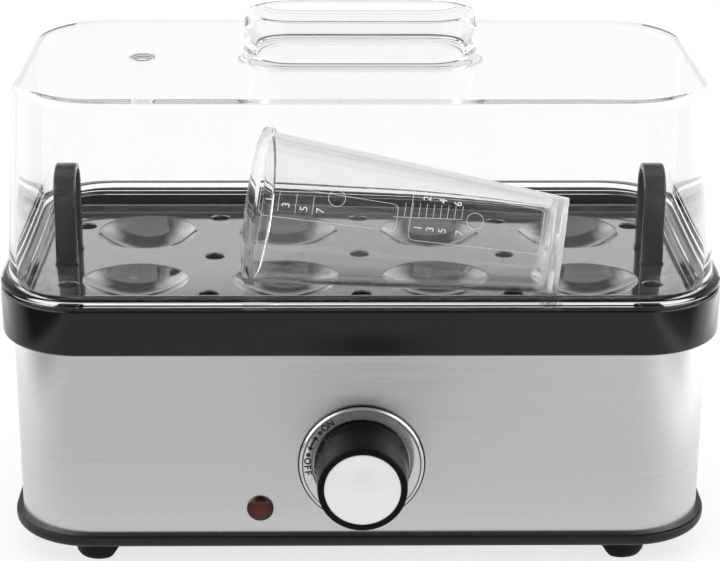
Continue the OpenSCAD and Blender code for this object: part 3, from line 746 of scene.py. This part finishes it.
def frameLine(low, high, start, end, corner=2.0):
    # a rounded rectangle wrapped on the cup
    wide = math.degrees(corner / cupRadius(cupValues, (start + end) / 2))
    line = []
    right, left, top, foot = high - wide, low + wide, end - corner, start + corner
    for turn, (a, h) in enumerate(((right, top), (left, top), (left, foot), (right, foot))):
        for i in range(7):
            t = radians(90 * turn + 15 * i)
            line.append((a + wide * cos(t), h + corner * sin(t)))
    line.append(line[0])
    full = []
    for (a0, h0), (a1, h1) in zip(line, line[1:]):
        parts = max(1, int(abs(a1 - a0) / 6))
        full += [(a0 + (a1 - a0) * i / parts, h0 + (h1 - h0) * i / parts) for i in range(parts)]
    return full + [line[-1]]


def makeMarks(v):
    lines = []
    bm = bmesh.new()
    for scale in v["scales"]:
        for i in range(scale["ticks"]):
            height = scale["start"] - i * scale["step"]
            low = scale["tickLow"] + (v["railLean"] * i if scale["rail"] else 0)
            lines.append([(low + (scale["tickHigh"] - scale["tickLow"]) * k / 4, height) for k in range(5)])
        if scale["rail"]:
            last = scale["ticks"] - 1
            lines.append([(scale["tickLow"] - 1.1, scale["rail"]),
                          (scale["tickLow"] + v["railLean"] * last, scale["start"] - last * scale["step"])])
        lines.append(frameLine(*scale["frame"]))
        a, h = scale["ringAt"]
        wide = math.degrees(v["ring"] / cupRadius(cupValues, h))
        turns = [2 * pi * i / 32 for i in range(33)]
        lines.append([(a + wide * cos(turn), h + v["ring"] * sin(turn)) for turn in turns])
        for digit, angle, height in scale["digits"]:
            foot = cupPoint(angle, height)
            out = (cupPoint(angle, height, 1) - foot).normalized()
            up = (cupPoint(angle, height + 1) - foot).normalized()
            turn = Matrix((up.cross(out), up, out)).transposed().to_4x4()
            place = Matrix.Translation(cupPoint(angle, height, 0.05)) @ turn
            textMesh(digit, mm * v["digit"], mm * v["digitThick"], 0, bm, place)
    paths = [[cupPoint(a, h, 0.06) for a, h in line] for line in lines]
    mesh = strapMesh("marks", paths, v["line"], v["line"], v["edge"], finish["cupPrint"])
    bm.from_mesh(mesh)
    bmesh.ops.recalc_face_normals(bm, faces=bm.faces)
    bm.to_mesh(mesh)
    bm.free()
    return placeMesh("cupMarks", mesh, "cup", finish["cupPrint"], (), 30)


makeMarks(markValues)
print("stage: cup made")

# ---- collar ----
collarValues = {"outside": (255, 140, 30), "z0": 83.5, "z1": 100.7, "open": (243.4, 125.6, 22), "ledge": 93.5,
                "post": (110, 53)}


def makeCollar(v):
    bm = bmesh.new()
    z0, z1, ledge = v["z0"], v["z1"], v["ledge"]
    levels = [levelAt(v["outside"], -x, z) for x, z in
              arcPoints(-1.4, z0 + 1.4, 1.4, -90, 0, 6) + arcPoints(-1.0, z1 - 1.0, 1.0, 0, 90, 6)]
    shelf = [(0, ledge + 0.5), (-0.15, ledge + 0.15), (-0.5, ledge)]
    levels += [levelAt(v["open"], -x, z) for x, z in arcPoints(0.6, z1 - 0.6, 0.6, 90, 180, 4) + shelf]
    levels += [(229, 117, 18.5, ledge), (228.3, 116.3, 18.2, ledge - 0.15), (228, 116, 18, ledge - 0.5),
               (228, 116, 18, ledge - 3), (240, 126, 20, ledge - 3), (240, 126, 20, z0 - 10),
               (245.8, 130.8, 26.9, z0 - 10), (246.2, 131.2, 27.1, z0 - 9.6), (246.2, 131.2, 27.1, z0)]
    loftLevels(bm, levels, closed=True)
    post = [(0, 87.4), (4.6, 87.4), (4.6, 31.3), (4.3, 31), (1.6, 31), (1.6, 64), (0, 64)]
    for sx in (-1, 1):
        for sy in (-1, 1):
            place = Matrix.Translation((mm * v["post"][0] * sx, bodyY + mm * v["post"][1] * sy, 0))
            spinProfile(bm, post, place, 32)
    return finishPiece("collarRing", bm, "base", finish["glossBlack"], ["collar"], 40)


makeCollar(collarValues)
print("stage: collar made")


# ---- pieces whose CAD shape is kept ----
def dressedCopy(name, node, body, material, angle):
    # the CAD shape with its loose triangles joined
    bm = bmesh.new()
    bm.from_mesh(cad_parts[node].data)
    bmesh.ops.remove_doubles(bm, verts=bm.verts, dist=2e-6)
    bmesh.ops.dissolve_limit(bm, angle_limit=radians(0.6), verts=bm.verts, edges=bm.edges)
    return placeMesh(name, meshFrom(bm, name), body, material, [node], angle)


dressedCopy("steelSleeve", "housing", "base", finish["sleeveSteel"], 30)
dressedCopy("baseTub", "base_plate", "base", finish["satinBlack"], 30)
footSpread = 1.2
for spot in ("front_left", "front_right", "back_left", "back_right"):
    foot = "foot_" + spot
    pad = dressedCopy(foot + "_pad", foot, "base", finish["footRubber"], 40)
    low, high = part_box(foot)
    middle = (low + high) / 2
    spread = Matrix.Diagonal((footSpread, footSpread, 1, 1))
    pad.data.transform(Matrix.Translation(middle) @ spread @ Matrix.Translation(-middle))
dressedCopy("cordGland", "cord_gland", "base", finish["satinBlack"], 30)
print("stage: dressed copies made")

# ---- dial ----
dialValues = {"ringR": 22.05, "ringInner": 17.4, "ringFace": 1.45, "darkEdgeW": 0.5, "darkEdgeH": 0.9,
              "knobR": 15.6, "knobL": 22, "discR": 13.3}
dialSteps = 128
dialPlace = Matrix.Translation((0, faceY, dialZ)) @ Matrix.Rotation(pi / 2, 4, "X")


def turnPiece(name, profile, body, material, nodes=()):
    bm = bmesh.new()
    spinProfile(bm, profile, dialPlace, dialSteps)
    finishPiece(name, bm, body, material, nodes, 30)


def makeDial(v):
    r, inner, face = v["ringR"], v["ringInner"], v["ringFace"]
    ring = [(inner, 0), (r, 0)] + arcPoints(r - 0.8, face - 0.5, 0.8, 0, 90, 8)
    ring += [(r - 1.1, face + 0.18), (r - 1.3, face + 0.04), (r - 1.6, face), (inner + 0.35, face),
             (inner + 0.1, face - 0.1), (inner, face - 0.35), (inner, 0)]
    turnPiece("dialRing", ring, "base", finish["chrome"], ["dial_bezel"])
    # a thin gloss-black ring just outside the chrome ring, which draws a dark line round the ring's edge
    out, high = r + v["darkEdgeW"], v["darkEdgeH"]
    darkEdge = [(r - 1, 0.02), (out, 0.02), (out, high - 0.15), (out - 0.15, high), (r - 1, high), (r - 1, 0.02)]
    turnPiece("dialDarkEdge", darkEdge, "base", finish["glossBlack"])
    k, end, disc = v["knobR"], v["knobL"], v["discR"]
    knob = [(0, end - 1.6), (disc + 0.1, end - 1.6), (disc + 0.1, end - 0.25), (disc + 0.35, end)]
    knob += arcPoints(k - 0.9, end - 0.9, 0.9, 90, 0, 6)
    knob += [(k + 0.5, 12), (k + 0.9, 3.6), (k + 1.15, 3.2), (k + 1.2, 2.8), (k + 1.2, 0.9),
             (k + 1.0, 0.6), (k - 0.6, 0.6), (k - 1.4, end - 4.6), (6.4, end - 4.6), (6.4, 8),
             (3.03, 8), (3.03, end - 5), (0, end - 5)]
    turnPiece("dialKnob", knob, "knob", finish["knobBlack"], ["knob"])
    plate = [(0, end - 1.6), (disc, end - 1.6), (disc, end - 0.65), (disc - 0.1, end - 0.42),
             (disc - 0.45, end - 0.3), (0, end - 0.3)]
    turnPiece("knobDisc", plate, "knob", finish["spun"], ["knob_disc"])


makeDial(dialValues)

lensValues = {"glowNear": 2.2, "glowFar": 4.4, "steps": 64}


def glowMiddle(material, centre, near, far):
    # painted glow: the lens's colour is a brighter red in its middle, where the lamp stands behind it, and
    # darker towards its rim
    nodes, links, _, place = materialParts(material)
    reach = addVector(nodes, links, "DISTANCE", place, centre)
    links.new(addRange(nodes, links, reach, 1, 0, near, far), nodes["Mix"].inputs["Factor"])


def makeLens(v):
    low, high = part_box("indicator_lens")
    centre = ((low.x + high.x) / 2, faceY, (low.z + high.z) / 2)
    glowMiddle(finish["redLens"], centre, mm * v["glowNear"], mm * v["glowFar"])
    bm = bmesh.new()
    profile = [(0, -6), (3.4, -6), (3.4, -5), (4, -5), (4, 0), (4.75, 0), (4.75, 0.55), (4.6, 0.8),
               (4.3, 0.95), (3.6, 1.1)]
    profile += [(3.6 * cos(radians(a)), 1.1 + 0.3 * sin(radians(a))) for a in range(15, 76, 15)] + [(0, 1.4)]
    spinProfile(bm, profile, Matrix.Translation(centre) @ Matrix.Rotation(pi / 2, 4, "X"), v["steps"])
    finishPiece("lampLens", bm, "base", finish["redLens"], ["indicator_lens"], 40)


makeLens(lensValues)
print("stage: dial made")

# ---- CAD nodes that keep their own shape ----
keptNodes = {
    "zincSteel": ("piercing_pin", "base_screws", "pan_screws", "thermostat_clip", "switch_nut",
                  "switch_shaft"),
    "panSteel": ("heating_pan",), "silicone": ("pan_seal",), "aluminium": ("heat_spreader",),
    "heaterSheath": ("heating_element",), "ceramic": ("thermostat", "thermal_fuse"),
    "nylon": ("terminal_block",), "satinBlack": ("switch_body", "gland_nut"),
    "lampGlass": ("indicator_lamp",), "cableBrown": ("wire_live",), "cableBlue": ("wire_neutral",),
    "cableGreen": ("wire_earth",),
}
for name, nodes in keptNodes.items():
    for node in nodes:
        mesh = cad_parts[node].data
        mesh.materials.clear()
        mesh.materials.append(finish[name])
print("stage: kept nodes painted")


# ---- dial print ----
printValues = {"radius": 19.25, "letter": 3.3, "bold": 0.11, "dot": 0.8, "shaft": 0.4, "head": 1.35,
               "headTurn": 5, "lift": 0.03, "thick": 0.06, "on": (("O", 132.2), ("N", 124.6)),
               "off": (("O", 175.4), ("F", 182.6), ("F", 189.0)),
               "dots": (139.6, 168.2), "arrow": (144.6, 163.4)}


def dialPoint(angle, radius, height):
    a, r = radians(angle), mm * radius
    return dialPlace @ Vector((r * cos(a), r * sin(a), mm * height))


def addPlate(bm, points, low, high):
    # a thin printed shape from a list of (angle, radius) corners
    front = [bm.verts.new(dialPoint(a, r, high)) for a, r in points]
    back = [bm.verts.new(dialPoint(a, r, low)) for a, r in points]
    bm.faces.new(front)
    bm.faces.new(list(reversed(back)))
    for i in range(len(points)):
        j = (i + 1) % len(points)
        bm.faces.new((front[j], front[i], back[i], back[j]))


def makePrint(v):
    bm = bmesh.new()
    r = v["radius"]
    height = dialValues["ringFace"] + v["lift"]
    for letters, turn in ((v["on"], -90), (v["off"], 90)):
        for letter, angle in letters:
            place = dialPlace @ Matrix.Rotation(radians(angle), 4, "Z")
            place = place @ Matrix.Translation((mm * r, 0, mm * height))
            place = place @ Matrix.Rotation(radians(turn), 4, "Z")
            textMesh(letter, mm * v["letter"], mm * v["thick"], mm * v["bold"], bm, place)
    low, high = height - v["thick"] / 2, height + v["thick"] / 2
    for angle in v["dots"]:
        ring = []
        for i in range(20):
            x = r * cos(radians(angle)) + v["dot"] * cos(2 * pi * i / 20)
            y = r * sin(radians(angle)) + v["dot"] * sin(2 * pi * i / 20)
            ring.append((math.degrees(atan2(y, x)), sqrt(x * x + y * y)))
        addPlate(bm, ring, low, high)
    a0, a1 = v["arrow"]
    inner = [(a0 + 2.5 + (a1 - a0 - 5) * i / 8, r - v["shaft"]) for i in range(9)]
    outer = [(a, r + v["shaft"]) for a, _ in reversed(inner)]
    addPlate(bm, inner + outer, low, high)
    for tip, back in ((a0, v["headTurn"]), (a1, -v["headTurn"])):
        head = [(tip, r), (tip + back, r - v["head"]), (tip + back * 0.72, r), (tip + back, r + v["head"])]
        addPlate(bm, head, low, high)
    bmesh.ops.recalc_face_normals(bm, faces=bm.faces)
    return placeMesh("dialPrint", meshFrom(bm, "dialPrint"), "base", finish["print"], (), 30)


makePrint(printValues)
print("stage: print made")

# ---- room ----
# painted reflections: each list is (place, level), how bright the room looks to a reflection, from one side
# to the other;
# the shade is a painted darker patch of floor in front of the dial, seen only in reflections, so the steel
# above the dial shows a painted darker reflection
roomValues = {"floorR": 4.0, "floorColour": 0.25, "floorSeen": 0.755, "back": 1.02, "top": 0.12, "edge": 0.78,
              "sky": ((-1, 1.6), (-0.6, 2.1), (-0.42, 1.1), (-0.28, 0.13),
                      (0.28, 0.13), (0.42, 1.1), (0.6, 2.1), (1, 1.6)),
              "floorFront": ((-0.5, 0.03), (-0.31, 0.03), (-0.26, 0.75), (-0.2, 0.54),
                             (0.12, 0.56), (0.2, 0.62), (0.25, 1.15), (0.32, 0.3), (0.5, 0.2)),
              "floorBack": ((-0.5, 1.9), (-0.33, 1.8), (-0.25, 1.0),
                            (0.2, 1.1), (0.25, 1.3), (0.33, 2.8), (0.5, 2.8)),
              "shade": {"at": (0.006, -0.235), "size": (0.032, 0.06), "level": 0.36}}


def addLevels(nodes, links, value, stops):
    # a smooth curve through the stops, as a number
    low, high = stops[0][0], stops[-1][0]
    top = max(level for _, level in stops)
    ramp = nodes.new("ShaderNodeValToRGB")
    ramp.color_ramp.interpolation = "EASE"
    points = ramp.color_ramp.elements
    while len(points) < len(stops):
        points.new(0.5)
    for point, (place, level) in zip(points, stops):
        point.position = (place - low) / (high - low)
        point.color = (level / top, level / top, level / top, 1)
    links.new(addRange(nodes, links, value, 0, 1, low, high), ramp.inputs["Fac"])
    return addMath(nodes, links, "MULTIPLY", ramp.outputs["Color"], top)


def addGlimpse(nodes, links, rays, level, edge):
    # light thrown about inside the thin clear walls sees an even, nearly white room
    depth = rays.outputs["Transmission Depth"]
    spans = [addMath(nodes, links, "MULTIPLY", addRange(nodes, links, depth, 0, 1, low, low + 1),
                     addRange(nodes, links, depth, 1, 0, high, high + 1)) for low, high in ((0, 3), (4, 7))]
    return addBlend(nodes, links, addMath(nodes, links, "MAXIMUM", *spans), level, edge)


def addRoom(v):
    bm = bmesh.new()
    bmesh.ops.create_circle(bm, cap_ends=True, radius=v["floorR"], segments=96)
    mesh = meshFrom(bm, "floor")
    floor = bpy.data.objects.new("floor", mesh)
    scene.collection.objects.link(floor)
    material, nodes, links, shader, place = startMaterial("paleFloor")
    shader.inputs["Base Color"].default_value = (v["floorColour"],) * 3 + (1,)
    shader.inputs["Roughness"].default_value = 0.7
    shader.inputs["Specular IOR Level"].default_value = 0
    rays = nodes.new("ShaderNodeLightPath")
    split = nodes.new("ShaderNodeSeparateXYZ")
    links.new(place, split.inputs["Vector"])
    x, y = split.outputs["X"], split.outputs["Y"]
    # painted reflections: glossy rays see these bands of light and dark and the painted darker patch in place
    # of the even floor
    front, back = (addLevels(nodes, links, x, v[side]) for side in ("floorFront", "floorBack"))
    mirrored = addBlend(nodes, links, addRange(nodes, links, y, 0, 1, -0.12, 0.12), front, back)
    shade = v["shade"]
    around = nodes.new("ShaderNodeMapping")
    around.vector_type = "TEXTURE"
    around.inputs["Location"].default_value = (*shade["at"], 0)
    around.inputs["Scale"].default_value = (*shade["size"], 1)
    links.new(place, around.inputs["Vector"])
    reach = addVector(nodes, links, "LENGTH", around.outputs["Vector"])
    darker = addRange(nodes, links, reach, shade["level"], 1, 0.3, 1.2)
    mirrored = addGlimpse(nodes, links, rays, addMath(nodes, links, "MULTIPLY", mirrored, darker), v["edge"])
    seen = nodes.new("ShaderNodeEmission")
    seen.inputs["Strength"].default_value = v["floorSeen"]
    glow = nodes.new("ShaderNodeEmission")
    links.new(mirrored, glow.inputs["Strength"])
    both = nodes.new("ShaderNodeAddShader")
    links.new(shader.outputs["BSDF"], both.inputs[0])
    links.new(seen.outputs["Emission"], both.inputs[1])
    mix = nodes.new("ShaderNodeMixShader")
    links.new(addRange(nodes, links, rays.outputs["Glossy Depth"], 0, 1, 0, 1), mix.inputs[0])
    links.new(both.outputs["Shader"], mix.inputs[1])
    links.new(glow.outputs["Emission"], mix.inputs[2])
    links.new(mix.outputs["Shader"], nodes["Material Output"].inputs["Surface"])
    mesh.materials.append(material)

    world = bpy.data.worlds.new("studio")
    scene.world = world
    world.use_nodes = True
    nodes, links = world.node_tree.nodes, world.node_tree.links
    sky = nodes["Background"]
    sky.inputs["Color"].default_value = (1, 1, 1, 1)
    view = nodes.new("ShaderNodeTexCoord")
    split = nodes.new("ShaderNodeSeparateXYZ")
    links.new(view.outputs["Generated"], split.inputs["Vector"])
    x, y, z = split.outputs
    # painted reflections: glossy rays see these bright and dark bands of sky, camera rays see plain white
    sides = addMath(nodes, links, "MULTIPLY", addLevels(nodes, links, x, v["sky"]),
                    addRange(nodes, links, z, 1, v["top"], 0.6, 0.85))
    behind = addMath(nodes, links, "MULTIPLY", addRange(nodes, links, y, 0, v["back"], -0.2, 0.35),
                     addRange(nodes, links, z, 1, v["top"], 0.4, 0.6))
    rays = nodes.new("ShaderNodeLightPath")
    level = addGlimpse(nodes, links, rays, addMath(nodes, links, "MAXIMUM", sides, behind), v["edge"])
    mirrored = addRange(nodes, links, rays.outputs["Glossy Depth"], 0, 1, 0, 1)
    links.new(addBlend(nodes, links, mirrored, 1, level), sky.inputs["Strength"])


# place, size and power, all aimed at the same point
lampAim = (0, 0, 0.1)
lampValues = {"topBox": ((0, 0.1, 1.3), (1.4, 0.9), 2.4), "leftBox": ((-1.2, -0.4, 0.7), (0.5, 0.9), 1.6),
              "rightBox": ((1.2, -0.3, 0.7), (0.5, 0.9), 2.4)}


def addLamp(name, place, size, power):
    data = bpy.data.lights.new(name, "AREA")
    data.shape = "RECTANGLE"
    data.size, data.size_y = size
    data.energy = power
    lamp = bpy.data.objects.new(name, data)
    scene.collection.objects.link(lamp)
    turn = (Vector(lampAim) - Vector(place)).to_track_quat("-Z", "Y")
    lamp.matrix_world = Matrix.Translation(place) @ turn.to_matrix().to_4x4()


addRoom(roomValues)
for name, settings in lampValues.items():
    addLamp(name, *settings)
print("stage: room made")
